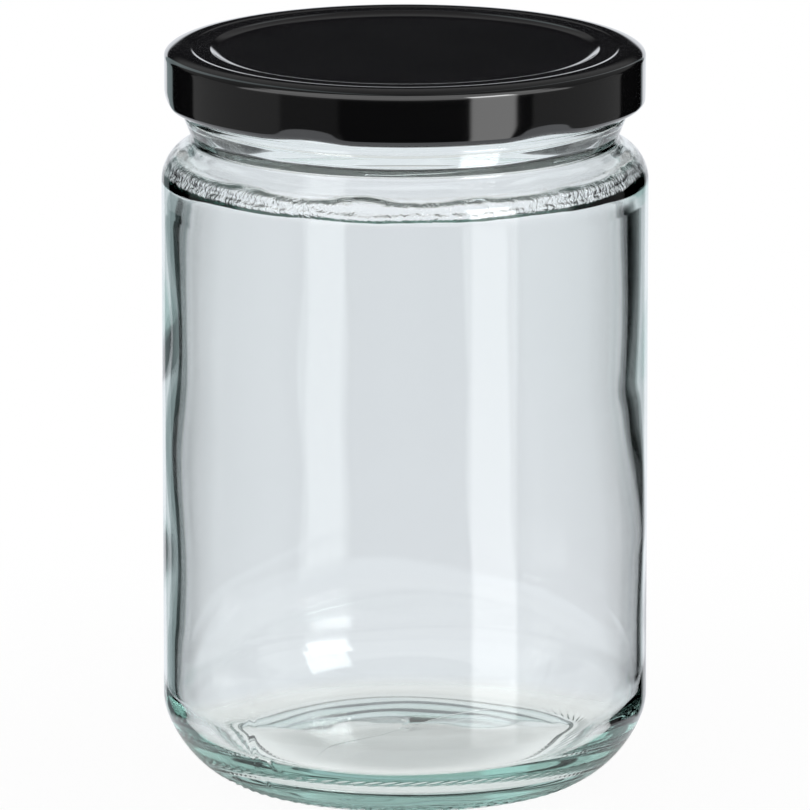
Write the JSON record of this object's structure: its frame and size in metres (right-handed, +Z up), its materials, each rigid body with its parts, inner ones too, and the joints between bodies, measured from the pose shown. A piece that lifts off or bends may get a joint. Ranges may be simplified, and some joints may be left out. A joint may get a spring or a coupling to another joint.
{
  "type": "canning jar",
  "caption": "Round clear glass canning jar with a straight body, rounded shoulder and heel, hollow base and a closed black metal twist-off lid.",
  "frame": {"origin": "centre of the flat ring that the jar stands on, on the table", "axes": "+Z up through the mouth; the jar is round about Z, and its front looks towards -Y"},
  "size_m": [0.088, 0.088, 0.1337],
  "materials": {
    "clear_glass": "clear moulded glass, fire polished, faint green-blue tint where thick",
    "black_enamel": "gloss black enamel on pressed tinplate",
    "seal_ring": "soft pale grey sealing compound"
  },
  "bodies": {
    "root": {"jar_glass": "clear_glass", "lid": "black_enamel", "lid_seal": "seal_ring"}
  },
  "joints": []
}
